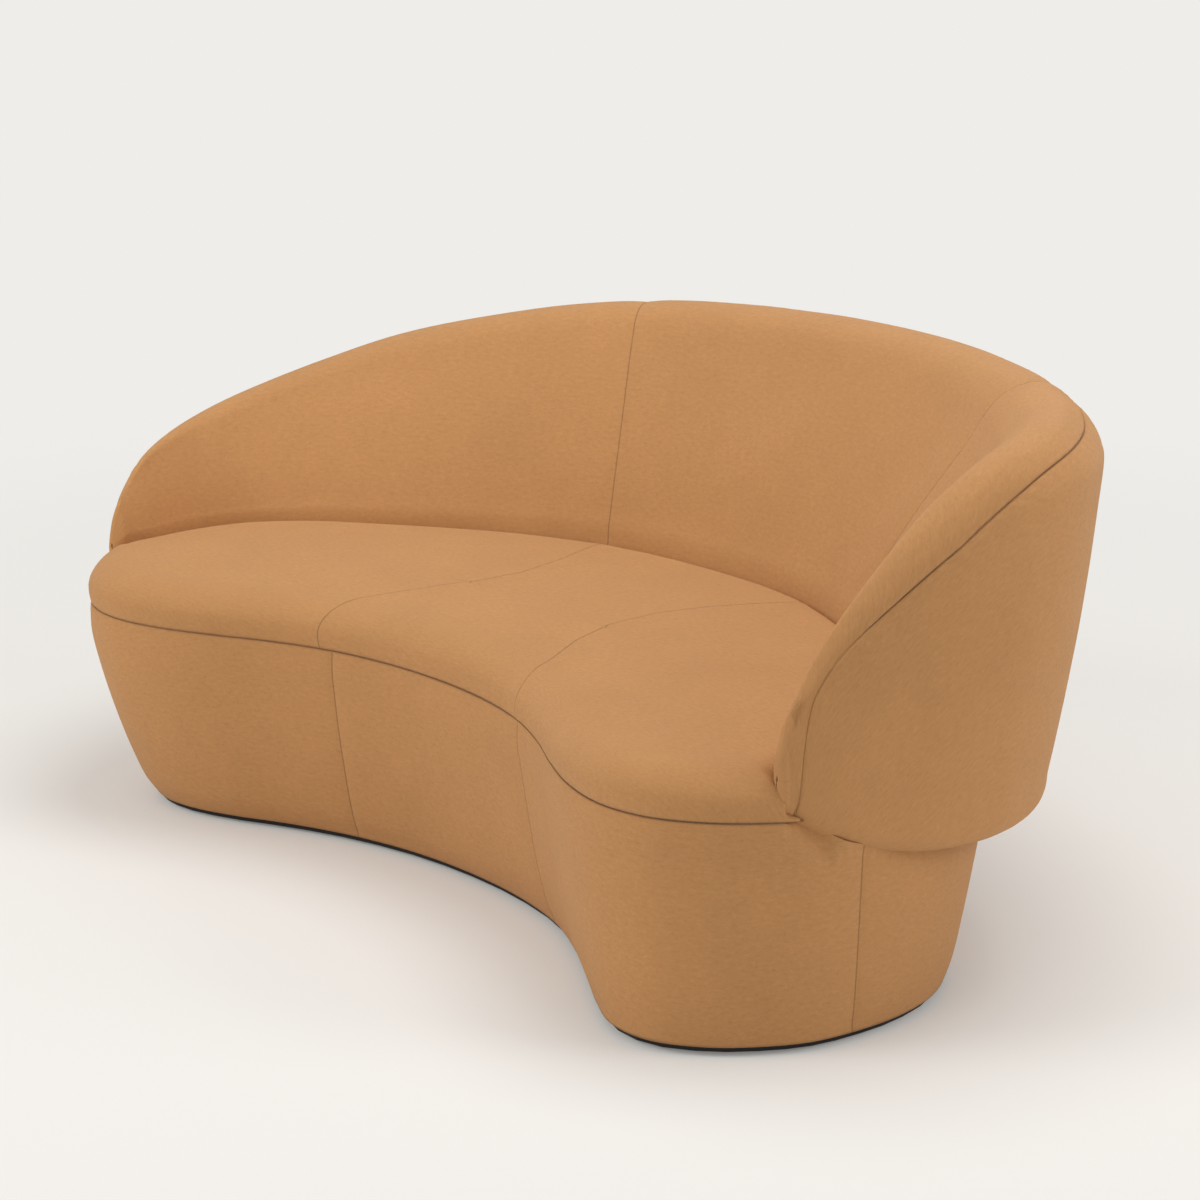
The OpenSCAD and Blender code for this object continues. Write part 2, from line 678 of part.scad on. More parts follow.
floor_glides();
plinth_ring();
floor_board();
rim_board_front();
rim_board_rear();
cross_rib_middle();
cross_ribs_inner();
cross_ribs_outer();
seat_deck();
deck_bolts();
webbing_lengthwise();
webbing_crosswise();
back_base_rail();
back_post_middle();
back_posts_inner();
back_posts_side();
back_posts_outer();
back_top_rail();
back_shell();
back_pad_left();
back_pad_middle();
back_pad_right();
arm_pad_left();
arm_pad_right();
outer_panel_left();
outer_panel_middle();
outer_panel_right();
base_pad_front_middle();
base_pad_front_left();
base_pad_front_right();
base_pad_rear();
seat_pad_left();
seat_pad_middle();
seat_pad_right();
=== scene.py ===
import math
import bpy
import numpy as np
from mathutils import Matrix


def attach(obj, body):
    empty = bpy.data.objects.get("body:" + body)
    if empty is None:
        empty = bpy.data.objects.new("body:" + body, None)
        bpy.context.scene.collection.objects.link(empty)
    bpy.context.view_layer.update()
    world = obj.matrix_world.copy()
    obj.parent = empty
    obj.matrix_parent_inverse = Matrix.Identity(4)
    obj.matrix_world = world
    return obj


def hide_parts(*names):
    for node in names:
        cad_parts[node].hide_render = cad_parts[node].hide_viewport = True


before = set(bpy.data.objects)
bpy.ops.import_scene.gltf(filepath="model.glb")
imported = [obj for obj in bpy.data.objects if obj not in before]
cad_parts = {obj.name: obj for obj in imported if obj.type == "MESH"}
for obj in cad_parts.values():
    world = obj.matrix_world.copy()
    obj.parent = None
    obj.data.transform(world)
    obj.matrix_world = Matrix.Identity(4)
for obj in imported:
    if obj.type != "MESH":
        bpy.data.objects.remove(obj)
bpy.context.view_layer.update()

MM = 0.001
TURN = 2 * math.pi

# camera and room
# the view is three-quarters from the front right, a little above the ridge
VIEW_TURN = math.radians(49.93)
VIEW_DROP = math.radians(15.38)
CAMERA_AT = (4.081, -3.489, 1.880)
LENS_MM = 103.5
SENSOR_MM = 36.0
SIGHT = 200.0

AIR_COLOUR = (1.0, 0.985, 0.96, 1.0)
AIR_STRENGTH = 0.5
FLOOR_SIZE = 120.0
FLOOR_AT = (0.0, 0.0, -0.0005)
PAPER = (0.86, 0.85, 0.825, 1.0)
PAPER_SEEN = (0.863, 0.847, 0.815, 1.0)
# metres from the middle between which the floor's shade gives way to its even colour
SHADE_NEAR, SHADE_FAR = 1.0, 3.4
LEAST_EVEN = 0.2
WHITE = (1.0, 1.0, 1.0)
# name, place, aim, width in metres, watts, colour
LAMPS = (("key", (-1.9, -4.6, 3.5), (0.0, 0.0, 0.4), 3.0, 112.0, (1.0, 0.99, 0.97)),
         ("overhead", (0.4, 0.8, 4.6), (0.0, 0.0, 0.3), 3.0, 84.0, WHITE),
         ("side", (4.2, 2.4, 2.8), (0.6, 0.0, 0.4), 2.4, 60.0, WHITE))


def new_node(tree, kind, values=None, **settings):
    """Shader node with its settings and its inputs' values."""
    node = tree.nodes.new(kind)
    for word, setting in settings.items():
        setattr(node, word, setting)
    return given(node, values or {})


def given(node, values):
    """The node, with its inputs set by name."""
    for word, value in values.items():
        node.inputs[word].default_value = value
    return node


def math_node(tree, operation, *values, clamp=False):
    """Result of a math node on numbers or other nodes' results."""
    node = new_node(tree, "ShaderNodeMath", operation=operation, use_clamp=clamp)
    for place, value in enumerate(values):
        if isinstance(value, (int, float)):
            node.inputs[place].default_value = value
        else:
            tree.links.new(value, node.inputs[place])
    return node.outputs[0]


def new_material(name):
    """Material, its node tree and its shader."""
    mat = bpy.data.materials.new(name)
    mat.use_nodes = True
    return mat, mat.node_tree, mat.node_tree.nodes["Principled BSDF"]


def place_camera():
    """Camera at the photograph's viewing angle."""
    data = bpy.data.cameras.new("view")
    data.lens = LENS_MM
    data.sensor_width = SENSOR_MM
    data.sensor_fit = "HORIZONTAL"
    data.clip_end = SIGHT
    camera = bpy.data.objects.new("view", data)
    bpy.context.scene.collection.objects.link(camera)
    camera.location = CAMERA_AT
    camera.rotation_euler = (math.pi / 2 - VIEW_DROP, 0.0, VIEW_TURN)
    bpy.context.scene.camera = camera


def soft_lamp(name, where, aim, size, power, tint):
    """Round lamp that faces its aim."""
    data = bpy.data.lights.new(name, "AREA")
    data.shape = "DISK"
    data.size = size
    data.energy = power
    data.color = tint
    lamp = bpy.data.objects.new(name, data)
    bpy.context.scene.collection.objects.link(lamp)
    lamp.location = where
    away = np.array(where) - np.array(aim)
    away = away / np.linalg.norm(away)
    lamp.rotation_euler = (math.acos(away[2]), 0.0, math.atan2(away[0], -away[1]))


def floor_finish():
    """Pale paper that keeps the sofa's shadow and is one even colour further off."""
    mat, tree, bsdf = new_material("studio floor paper")
    link = tree.links.new
    given(bsdf, {"Base Color": PAPER, "Roughness": 0.75, "Specular IOR Level": 0.2})
    glow = new_node(tree, "ShaderNodeEmission", {"Color": PAPER_SEEN, "Strength": 1.0})
    path = new_node(tree, "ShaderNodeLightPath")
    place = new_node(tree, "ShaderNodeTexCoord")
    away = new_node(tree, "ShaderNodeVectorMath", operation="LENGTH")
    link(place.outputs["Object"], away.inputs[0])
    even = new_node(tree, "ShaderNodeMapRange",
                    {"From Min": SHADE_NEAR, "From Max": SHADE_FAR, "To Min": LEAST_EVEN,
                     "To Max": 1.0}, interpolation_type="SMOOTHSTEP")
    link(away.outputs["Value"], even.inputs["Value"])
    share = math_node(tree, "MULTIPLY", path.outputs["Is Camera Ray"], even.outputs["Result"])
    mix = new_node(tree, "ShaderNodeMixShader")
    link(share, mix.inputs["Fac"])
    link(bsdf.outputs["BSDF"], mix.inputs[1])
    link(glow.outputs["Emission"], mix.inputs[2])
    link(mix.outputs["Shader"], tree.nodes["Material Output"].inputs["Surface"])
    return mat


def studio_room():
    """Plain floor, even air and three soft lamps."""
    scene = bpy.context.scene
    scene.view_settings.view_transform = "Standard"
    world = bpy.data.worlds.new("studio air")
    scene.world = world
    world.use_nodes = True
    given(world.node_tree.nodes["Background"], {"Color": AIR_COLOUR, "Strength": AIR_STRENGTH})
    bpy.ops.object.select_all(action="DESELECT")
    bpy.ops.mesh.primitive_plane_add(size=FLOOR_SIZE, location=FLOOR_AT)
    floor = bpy.context.object
    floor.name = "studio_floor"
    floor.data.materials.append(floor_finish())
    for lamp in LAMPS:
        soft_lamp(*lamp)


# shape of the sofa, in millimetres
# The tables run along one half, from the middle line outwards: the viewer's right half, unless
# a name says left.
MIDDLE_Y = 415.0
SEAT_H = 420.0
SEAM_H = 345.0
CROWN = 9.0
SHOULDER = 72.0
TUCK = 92.0
DECK_Z = 284.0
RIDGE_R = 88.0
# seat outline at the seam's height, from the front's middle to the back's middle
HALF_SEAM = np.array([
    [0, 28], [122, 20], [240, -6], [345, -50], [440, -102], [530, -143],
    [620, -163], [705, -150], [778, -104], [832, -42], [868, 24], [884, 104],
    [886, 190], [872, 280], [836, 366], [776, 448], [688, 530], [560, 614],
    [400, 688], [210, 742], [0, 760]], float)
# share of TUCK by which the base is drawn in below each of these points
TAPER_RIGHT = np.array([0.6, 0.6, 0.6, 0.55, 0.5, 0.35, 0.1, -0.05, -0.05, 0, 0.05, 0.1,
                        0.15, 0.25, 0.4, 0.6, 0.8, 1, 1, 1, 1])
TAPER_LEFT = np.array([0.6, 0.6, 0.6, 0.65, 0.7, 0.8, 0.95, 1.05, 1.15, 1.15, 1.1, 1.05,
                       1, 1, 1, 1, 1, 1, 1, 1, 1])
# backrest from its middle to the arm's tip: foot x and y, outer edge x and y, way out to the
# ridge, height of the lower edge, of the ridge on the right and on the left, size of the ridge
HALF_BACK = np.array([
    [0, 620, 0, 880, 290, 268, 802, 802, 1],
    [178, 608, 222, 858, 286, 268, 804, 796, 1],
    [340, 556, 438, 790, 276, 267, 806, 783, 1],
    [485, 476, 630, 690, 258, 266, 816, 750, 0.98],
    [610, 388, 780, 568, 234, 265, 825, 710, 0.93],
    [706, 305, 880, 452, 204, 264, 828, 662, 0.84],
    [768, 228, 924, 335, 162, 264, 810, 621, 0.72],
    [798, 155, 924, 222, 117, 268, 756, 592, 0.58],
    [806, 90, 904, 126, 78, 284, 678, 568, 0.42],
    [806, 32, 880, 42, 46, 312, 586, 532, 0.27],
    [815, -18, 848, -26, 16, 356, 470, 466, 0.08]], float)
# sewn line across the seat, as way out and depth
SEAT_SEAM = np.array([[256, -400], [252, -10], [236, 60], [194, 150], [166, 240],
                      [164, 330], [192, 430], [240, 550], [280, 700]], float)
# upright sewn lines on the base, by the place of the outline that each is nearest to
BASE_SEAMS = ((243, 0), (-232, 0), (884, 92), (-884, 92), (300, 722), (-300, 722))
# sewn lines up the inside of the backrest, as run up the face and place along the backrest
BACK_SEAM_LEFT = ((0, 337, 600), (0.147, 0.178, 0.20))
BACK_SEAM_RIGHT = ((0, 131, 253, 340, 450, 600), (0.222, 0.239, 0.259, 0.274, 0.274, 0.245))
# places along the backrest, 0 at its middle and 1 at the arm's tip in the table
PANEL_SEAM = 0.36
NOSE_FROM = 0.925
PANEL_END = 0.968
TIP = 0.986

# lower edge of the outer panels, and the backrest's foot by the seat
ROLL_H = 44.0
LIP_MOST, LIP_SHARE = 46.0, 0.7
FOOT_GAP, FOOT_RISE = 0.4, 4.0
# ridge size from which the faces have their full swell, and that swell
FULL_RIDGE = 60.0
OUTER_SWELL, INNER_SWELL = 8.0, 10.0
# sections as shares of the ridge's size, of the height of a face, and of the lip's width with
# the height above the lip's lowest point
RIDGE_OUTSIDE = ((0, 1), (0.2, 0.98), (0.38, 0.925), (0.72, 0.70), (0.94, 0.34))
RIDGE_INSIDE = ((-0.85, 0.53), (-0.64, 0.77), (-0.36, 0.935), (0, 1))
OUTER_FACE = (1, 0.85, 0.7, 0.55, 0.4, 0.25, 0.1)
INNER_FACE = (0.06, 0.15, 0.25, 0.4, 0.55, 0.7, 0.85, 0.94)
LIP_ROLL = ((0.04, 24), (0.2, 8), (0.5, 0), (0.85, 3))
LIP_RISE = 14.0
# run from the ridge's top to the sewn line at the back, and how much less it is at the arms
SEWN_DROP, SEWN_LESS = 58.0, 25.0
# run left to the foot where the line ends at the nose, and how far it goes on past that end
SEWN_END, SEWN_TUCK = 34.0, 33.0
# gap between the two covers along the line
SEWN_GAP = 0.8

# steps of the meshes
BACK_STEPS = 540
OUTLINE_STEPS = 780
CURVE_STEPS = 400
FINE_STEPS = 12
NOSE_STEPS = 10
NOSE = 14.0
WALL_THIN = 4


def along(points, t):
    """Smooth curve through points, at places t counted in points."""
    points = np.asarray(points, float)
    n = len(points)
    t = np.clip(np.asarray(t, float), 0, n - 1)
    i = np.minimum(np.floor(t).astype(int), n - 2)
    f = t - i
    a = points[np.maximum(i - 1, 0)]
    b = points[i]
    c = points[i + 1]
    d = points[np.minimum(i + 2, n - 1)]
    if points.ndim > 1:
        f = f.reshape(f.shape + (1,) * (points.ndim - 1))
    return 0.5 * (2 * b + (c - a) * f + (2 * a - 5 * b + 4 * c - d) * f ** 2
                  + (3 * b - 3 * c + d - a) * f ** 3)


def seam_line(u):
    """Seat outline at seam height, u from 0 to 1 round the seat, and its outward side."""
    whole = np.vstack([HALF_SEAM[1] * [-1, 1], HALF_SEAM, HALF_SEAM[-2] * [-1, 1]])

    def at(v):
        v = v - np.floor(v)
        right = v <= 0.5
        w = np.where(right, v, 1 - v) * 2 * (len(HALF_SEAM) - 1)
        q = along(whole, w + 1)
        return np.stack([np.where(right, q[:, 0], -q[:, 0]), q[:, 1]], 1)

    way = at(u + 0.004) - at(u - 0.004)
    way /= np.linalg.norm(way, axis=1)[:, None]
    return at(u), np.stack([way[:, 1], -way[:, 0]], 1)


def taper_at(u):
    """How far the base is drawn in at places round the seat, as a share of TUCK."""
    v = u - np.floor(u)
    n = len(TAPER_LEFT) - 1
    return np.where(v <= 0.5, along(TAPER_RIGHT, v * 2 * n), along(TAPER_LEFT, (1 - v) * 2 * n))


def stations(s):
    """Backrest stations: foot, outward direction, width, ridge place, heights, ridge size."""
    first = HALF_BACK[1] * [-1, 1, -1, 1, 1, 1, 1, 1, 1]
    first[[6, 7]] = first[[7, 6]]
    table = along(np.vstack([first, HALF_BACK]), np.abs(s) * (len(HALF_BACK) - 1) + 1)
    side = np.where(s < 0, -1.0, 1.0)
    foot = np.stack([side * table[:, 0], table[:, 1]], 1)
    out = np.stack([side * table[:, 2], table[:, 3]], 1) - foot
    width = np.linalg.norm(out, axis=1)
    top = np.where(s < 0, table[:, 7], table[:, 6])
    ridge = RIDGE_R * table[:, 8]
    return dict(foot=foot, out=out / width[:, None], w=width, rt=table[:, 4], zb=table[:, 5],
                zt=top, ht=ridge, rise=top - ridge)


def face_out(q, z):
    """Way out to the outer face at height z."""
    f = np.clip((z - q["zb"] - ROLL_H) / (q["rise"] - q["zb"] - ROLL_H), 0, 1)
    swell = OUTER_SWELL * np.sin(np.pi * f) * np.minimum(1, q["ht"] / FULL_RIDGE)
    return q["w"] + f * (q["rt"] + q["ht"] - q["w"]) + swell


def back_foot(zb):
    """Height of the backrest's foot where its lower edge is at height zb."""
    return np.maximum(DECK_Z + FOOT_GAP, zb + FOOT_RISE)


def lip_width(w):
    """How far the outer panels' lower edge rolls in under a backrest of width w."""
    return np.minimum(LIP_MOST, LIP_SHARE * w)


# cloth work
WAVES = 7
SWELLS = 9


def waves(x, seed, length):
    """Smooth unrepeating waves along x, about -1 to 1."""
    rng = np.random.RandomState(seed)
    total = np.zeros_like(x)
    for _ in range(WAVES):
        total += np.sin(TURN * x / (length * rng.uniform(0.6, 1.7)) + rng.uniform(0, 6.28))
    return total / (WAVES * 0.6)


def slow_swell(p, seed, size):
    """Soft unevenness of filled cloth, from places in space."""
    rng = np.random.RandomState(seed)
    total = np.zeros(p.shape[:-1])
    for _ in range(SWELLS):
        way = rng.normal(size=3)
        way /= np.linalg.norm(way)
        total += np.sin(TURN * (p @ way) / (size * rng.uniform(0.7, 1.6))
                        + rng.uniform(0, 6.28))
    return total / (SWELLS * 0.5)


def dip(distance, depth, width):
    """Hollow of a depth and width at distance 0."""
    return depth * np.exp(-(distance / width) ** 2)


def puckers(run, away, seed, reach, deep, length):
    """Gathers that start 5 mm off a seam and die out away from it."""
    grow = np.clip(np.abs(away) / 5.0, 0, 1)
    return deep * waves(run, seed, length) * np.exp(-(away / reach) ** 2) * grow


def eased(t):
    """Shares from 0 to 1 with a soft start and end."""
    return t * t * (3 - 2 * t)


def held_below(x, limit, span):
    """x, slowed within span of the limit so that it never passes it."""
    slowed = limit - span * np.exp(-np.clip(x - limit + span, 0, None) / span)
    return np.where(x > limit - span, slowed, x)


def lengths(p, axis):
    """Run along the rows or columns of a grid of places."""
    step = np.linalg.norm(np.diff(p, axis=axis), axis=2)
    lead = np.zeros_like(np.take(p[:, :, 0], [0], axis=axis))
    return np.concatenate([lead, np.cumsum(step, axis=axis)], axis=axis)


def surface_normals(p):
    """Outward sides of a grid of places."""
    n = np.cross(np.gradient(p, axis=0), np.gradient(p, axis=1))
    return n / np.maximum(np.linalg.norm(n, axis=2)[:, :, None], 1e-9)


def part_of(curve, run, start, end, n):
    """n even steps of each section's curve between two runs along it."""
    out = np.empty((len(curve), n, 2))
    for k in range(len(curve)):
        t = np.linspace(start[k], end[k], n)
        out[k, :, 0] = np.interp(t, run[k], curve[k, :, 0])
        out[k, :, 1] = np.interp(t, run[k], curve[k, :, 1])
    return out


def smooth_sections(points, n):
    """Control sections (stations, points, 2) drawn as smooth curves of n even steps."""
    table = points.transpose(1, 0, 2)
    places = np.linspace(0, len(table) - 1, len(table) * FINE_STEPS)
    fine = along(table, places).transpose(1, 0, 2)
    run = lengths(fine, 1)
    return part_of(fine, run, np.zeros(len(fine)), run[:, -1], n)


def sections(pairs):
    """Stack (r, z) pairs, numbers or per-station arrays, into control sections."""
    size = max(np.size(v) for pair in pairs for v in pair)
    return np.stack([np.stack([np.broadcast_to(np.asarray(r, float), size),
                               np.broadcast_to(np.asarray(z, float), size)], 1)
                     for r, z in pairs], 1)


def set_back(curve, depth):
    """The inner side of a thick curve, straight back by depth from each point."""
    t = np.gradient(curve, axis=1)
    t /= np.maximum(np.linalg.norm(t, axis=2)[:, :, None], 1e-9)
    inward = np.stack([t[:, :, 1], -t[:, :, 0]], 2)
    return curve + inward * depth[:, None, None]


def in_space(q, curve):
    """Sections (r, z) stood at their stations."""
    flat = q["foot"][:, None, :] + q["out"][:, None, :] * curve[:, :, :1]
    return np.concatenate([flat, curve[:, :, 1:]], axis=2)


def inner_wall(q, curve, depth):
    """The cover's inner side, with fewer points and in the order that closes the ring."""
    return in_space(q, set_back(curve, depth))[:, ::WALL_THIN][:, ::-1]


def between_sides(s, run, left, right):
    """Signed run from the nearer of two seams, negative between them."""
    at = np.stack([np.interp((-left[i], right[i]), s, run[:, i]) for i in range(run.shape[1])])
    half = 0.5 * (at[:, 1] + at[:, 0])
    return np.where(run < half[None], at[:, 0][None] - run, run - at[:, 1][None])


# distance given to the seams on the hidden walls, so that no line shows there
NO_SEAM = 90.0


def walled(skin, uv, seam, edge, wall):
    """Rings of a closed cover: the skin one way and the wall behind it back again."""
    shape = wall.shape[:2]
    back = np.stack([np.broadcast_to(uv[:, :1, 0], shape),
                     np.broadcast_to(1500 + 20.0 * np.arange(shape[1]), shape)], 2)
    far = np.full(shape, NO_SEAM)
    return [np.concatenate(pair, axis=1)
            for pair in ((skin, wall), (uv, back), (seam, far), (edge, far))]


def with_noses(rings, fields, q):
    """Rounded noses past both arm tips, carrying on the fall of the ridge."""
    ends = []
    for k, near in ((0, 3), (-1, -4)):
        go = q["foot"][k] - q["foot"][near]
        go = np.append(go, 0.0) / np.linalg.norm(go)
        low, high = q["zb"][k], q["zt"][k]
        mid = np.append(q["foot"][k] + q["out"][k] * q["w"][k] * 0.5, low + 0.42 * (high - low))
        off = rings[k] - mid
        part = []
        for j in range(1, NOSE_STEPS + 1):
            t = j / NOSE_STEPS
            tall = np.where(off[:, 2] > 0, 1 - 0.93 * t, 1 - 0.93 * t ** 1.5)
            wide = np.full(len(off), max(0.08, math.cos(0.5 * math.pi * t)))
            part.append(mid + off * np.stack([wide, wide, tall], 1)
                        + go * NOSE * math.sin(0.5 * math.pi * t))
        ends.append(part if k == -1 else part[::-1])
    longer = [np.concatenate([f[:1].repeat(NOSE_STEPS, 0), f, f[-1:].repeat(NOSE_STEPS, 0)])
              for f in fields]
    return [np.concatenate([ends[0], rings, ends[1]], axis=0)] + longer


def make_piece(name, rings, uv, seam, edge, fill, round_way=False):
    """Closed mesh from rings of places in millimetres: a loop of rings, or capped at both ends."""
    ix = np.arange(rings.shape[0] * rings.shape[1]).reshape(rings.shape[:2])
    a, d = (ix, np.roll(ix, -1, 0)) if round_way else (ix[:-1], ix[1:])
    b, c = np.roll(a, -1, 1), np.roll(d, -1, 1)
    quads = np.stack([a, b, c, d], -1).reshape(-1, 4)
    flat = rings.reshape(-1, 3)
    # a mesh that is inside out has a negative volume
    p0, p1, p2, p3 = (flat[quads[:, k]] for k in range(4))
    flip = (np.cross(p0, p1) * p2).sum() + (np.cross(p0, p2) * p3).sum() < 0
    faces = (quads[:, ::-1] if flip else quads).tolist()
    if not round_way:
        head, tail = ix[0].tolist(), ix[-1].tolist()
        faces += [head, tail[::-1]] if flip else [head[::-1], tail]
    mesh = bpy.data.meshes.new(name)
    places = flat * MM
    places[:, 1] -= MIDDLE_Y * MM
    mesh.from_pydata(places.tolist(), [], faces)
    layer = mesh.uv_layers.new(name="cloth")
    corner = np.zeros(len(mesh.loops), dtype=np.int32)
    mesh.loops.foreach_get("vertex_index", corner)
    layer.data.foreach_set("uv", (uv.reshape(-1, 2)[corner] * MM).astype(np.float32).ravel())
    for word, field in (("seam", seam), ("edge", edge)):
        layer = mesh.attributes.new(word, "FLOAT", "POINT")
        layer.data.foreach_set("value", (field.reshape(-1) * MM).astype(np.float32))
    mesh.polygons.foreach_set("use_smooth", [True] * len(mesh.polygons))
    mesh.update()
    piece = bpy.data.objects.new(name, mesh)
    bpy.context.scene.collection.objects.link(piece)
    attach(piece, "root")
    return piece


# finishes
YARN = (0.520, 0.258, 0.098, 1.0)
DARK_YARN = (0.33, 0.150, 0.056, 1.0)
LIGHT_YARN = (0.64, 0.375, 0.175, 1.0)
# painted shade: the yarn colour darkened for the shade in the grooves of the sewn lines
SEAM_PAINTED_SHADE = (0.21, 0.095, 0.036, 1.0)
SHEEN_TINT = (1.0, 0.86, 0.70, 1.0)
PICKS = 620.0
FLECK_SHARE = 0.34
SEAM_WIDTH = 0.0011
SEAM_ROLL = 0.006


def new_group(name, inputs, outputs):
    """Shader node group with its sockets; gives the tree, its input and its output node."""
    group = bpy.data.node_groups.new(name, "ShaderNodeTree")
    for way, sockets in (("INPUT", inputs), ("OUTPUT", outputs)):
        for word, kind in sockets:
            group.interface.new_socket(name=word, in_out=way, socket_type="NodeSocket" + kind)
    return group, group.nodes.new("NodeGroupInput"), group.nodes.new("NodeGroupOutput")


def melange_group():
    """Woven wool melange: flecks of light and dark yarn, slow unevenness and rub marks."""
    g, given_in, given_out = new_group(
        "wool melange weave",
        (("Place", "Vector"), ("Thread", "Vector"), ("Yarn", "Color"), ("Dark yarn", "Color"),
         ("Light yarn", "Color"), ("Picks per metre", "Float")),
        (("Colour", "Color"), ("Height", "Float"), ("Roughness", "Float")))
    link = g.links.new
    thread, place = given_in.outputs["Thread"], given_in.outputs["Place"]

    def noise(vector, scale, detail, rough):
        t = new_node(g, "ShaderNodeTexNoise",
                     {"Scale": scale, "Detail": detail, "Roughness": rough})
        link(vector, t.inputs["Vector"])
        return t.outputs["Fac"]

    def spread(value, low, high, least=0.0, most=1.0):
        t = new_node(g, "ShaderNodeMapRange",
                     {"From Min": low, "From Max": high, "To Min": least, "To Max": most})
        link(value, t.inputs["Value"])
        return t.outputs["Result"]

    def shares(x, part_x, y, part_y):
        return math_node(g, "ADD", math_node(g, "MULTIPLY", x, part_x),
                         math_node(g, "MULTIPLY", y, part_y))

    def blend(share, x, y):
        t = new_node(g, "ShaderNodeMix", data_type="RGBA")
        link(math_node(g, "MULTIPLY", share, FLECK_SHARE, clamp=True), t.inputs["Factor"])
        link(x, t.inputs["A"])
        link(y, t.inputs["B"])
        return t.outputs["Result"]

    # warp and weft: two crossed sets of threads, over and under in turn
    split = new_node(g, "ShaderNodeSeparateXYZ")
    link(thread, split.inputs[0])
    turn = math_node(g, "MULTIPLY", given_in.outputs["Picks per metre"], 6.2832)
    across = math_node(g, "MULTIPLY", split.outputs[0], turn)
    upward = math_node(g, "MULTIPLY", split.outputs[1], turn)
    weave = math_node(g, "MULTIPLY", math_node(g, "SINE", across), math_node(g, "SINE", upward))
    # flecks: short streaks of other yarn, stretched along the threads
    stretch = new_node(g, "ShaderNodeMapping", {"Scale": (0.5, 1.0, 1.0)})
    link(thread, stretch.inputs["Vector"])
    streaks = stretch.outputs["Vector"]
    fleck = shares(noise(streaks, 420.0, 3.0, 0.7), 0.5, noise(streaks, 170.0, 2.0, 0.6), 0.5)
    colour = blend(spread(fleck, 0.51, 0.68), given_in.outputs["Yarn"],
                   given_in.outputs["Light yarn"])
    colour = blend(spread(fleck, 0.48, 0.32), colour, given_in.outputs["Dark yarn"])
    # slow change of tone and rub marks
    cloud = noise(place, 5.0, 4.0, 0.55)
    rub = noise(place, 26.0, 3.0, 0.6)
    tone = spread(shares(cloud, 0.6, rub, 0.4), 0.25, 0.75, 0.94, 1.06)
    shade = new_node(g, "ShaderNodeVectorMath", operation="SCALE")
    link(colour, shade.inputs[0])
    link(tone, shade.inputs["Scale"])
    link(shade.outputs["Vector"], given_out.inputs["Colour"])
    link(shares(weave, 0.5, fleck, 0.4), given_out.inputs["Height"])
    link(math_node(g, "ADD", math_node(g, "MULTIPLY", rub, 0.12), 0.80),
         given_out.inputs["Roughness"])
    return g


def seam_group():
    """Sewn joint from a signed distance: a narrow groove line, which also sets the painted shade
    along it, and the cloth's roll into it.
    """
    g, given_in, given_out = new_group(
        "sewn joint", (("Seam", "Float"), ("Edge", "Float"), ("Width", "Float")),
        (("Line", "Float"), ("Dip", "Float")))
    off = math_node(g, "MINIMUM", math_node(g, "ABSOLUTE", given_in.outputs["Seam"]),
                    math_node(g, "ABSOLUTE", given_in.outputs["Edge"]))
    share = math_node(g, "DIVIDE", off, given_in.outputs["Width"])
    square = math_node(g, "MULTIPLY", share, share)
    line = math_node(g, "EXPONENT", math_node(g, "MULTIPLY", square, -1.0))
    rolled = math_node(g, "DIVIDE", off, SEAM_ROLL)
    roll = math_node(g, "EXPONENT", math_node(g, "MULTIPLY", rolled, -1.0))
    g.links.new(line, given_out.inputs["Line"])
    g.links.new(math_node(g, "ADD", line, roll), given_out.inputs["Dip"])
    return g


def cloth_finish():
    """Camel wool cloth with its weave, and sewn joints, with painted shade along their grooves,
    where the distances say.
    """
    mat, tree, bsdf = new_material("camel wool cloth")
    link = tree.links.new
    given(bsdf, {"Specular IOR Level": 0.25, "Sheen Weight": 0.12, "Sheen Roughness": 0.45,
                 "Sheen Tint": SHEEN_TINT})
    weave = new_node(tree, "ShaderNodeGroup", node_tree=melange_group())
    given(weave, {"Yarn": YARN, "Dark yarn": DARK_YARN, "Light yarn": LIGHT_YARN,
                  "Picks per metre": PICKS})
    place = new_node(tree, "ShaderNodeTexCoord")
    link(place.outputs["Object"], weave.inputs["Place"])
    uv = new_node(tree, "ShaderNodeUVMap", uv_map="cloth")
    link(uv.outputs["UV"], weave.inputs["Thread"])
    joint = new_node(tree, "ShaderNodeGroup", node_tree=seam_group())
    given(joint, {"Width": SEAM_WIDTH})
    for word, wanted in (("seam", "Seam"), ("edge", "Edge")):
        distance = new_node(tree, "ShaderNodeAttribute", attribute_name=word)
        link(distance.outputs["Fac"], joint.inputs[wanted])
    # painted shade: the yarn colour is darkened along the sewn lines, standing in for the shade in
    # their grooves
    sewn = new_node(tree, "ShaderNodeMix", {"B": SEAM_PAINTED_SHADE}, data_type="RGBA")
    link(math_node(tree, "MULTIPLY", joint.outputs["Line"], 0.5), sewn.inputs["Factor"])
    link(weave.outputs["Colour"], sewn.inputs["A"])
    link(sewn.outputs["Result"], bsdf.inputs["Base Color"])
    link(weave.outputs["Roughness"], bsdf.inputs["Roughness"])
    thread = new_node(tree, "ShaderNodeBump", {"Strength": 0.35, "Distance": 0.0006})
    link(weave.outputs["Height"], thread.inputs["Height"])
    groove = new_node(tree, "ShaderNodeBump", {"Strength": 0.55, "Distance": 0.0014}, invert=True)
    link(joint.outputs["Dip"], groove.inputs["Height"])
    link(thread.outputs["Normal"], groove.inputs["Normal"])
    link(groove.outputs["Normal"], bsdf.inputs["Normal"])
    return mat


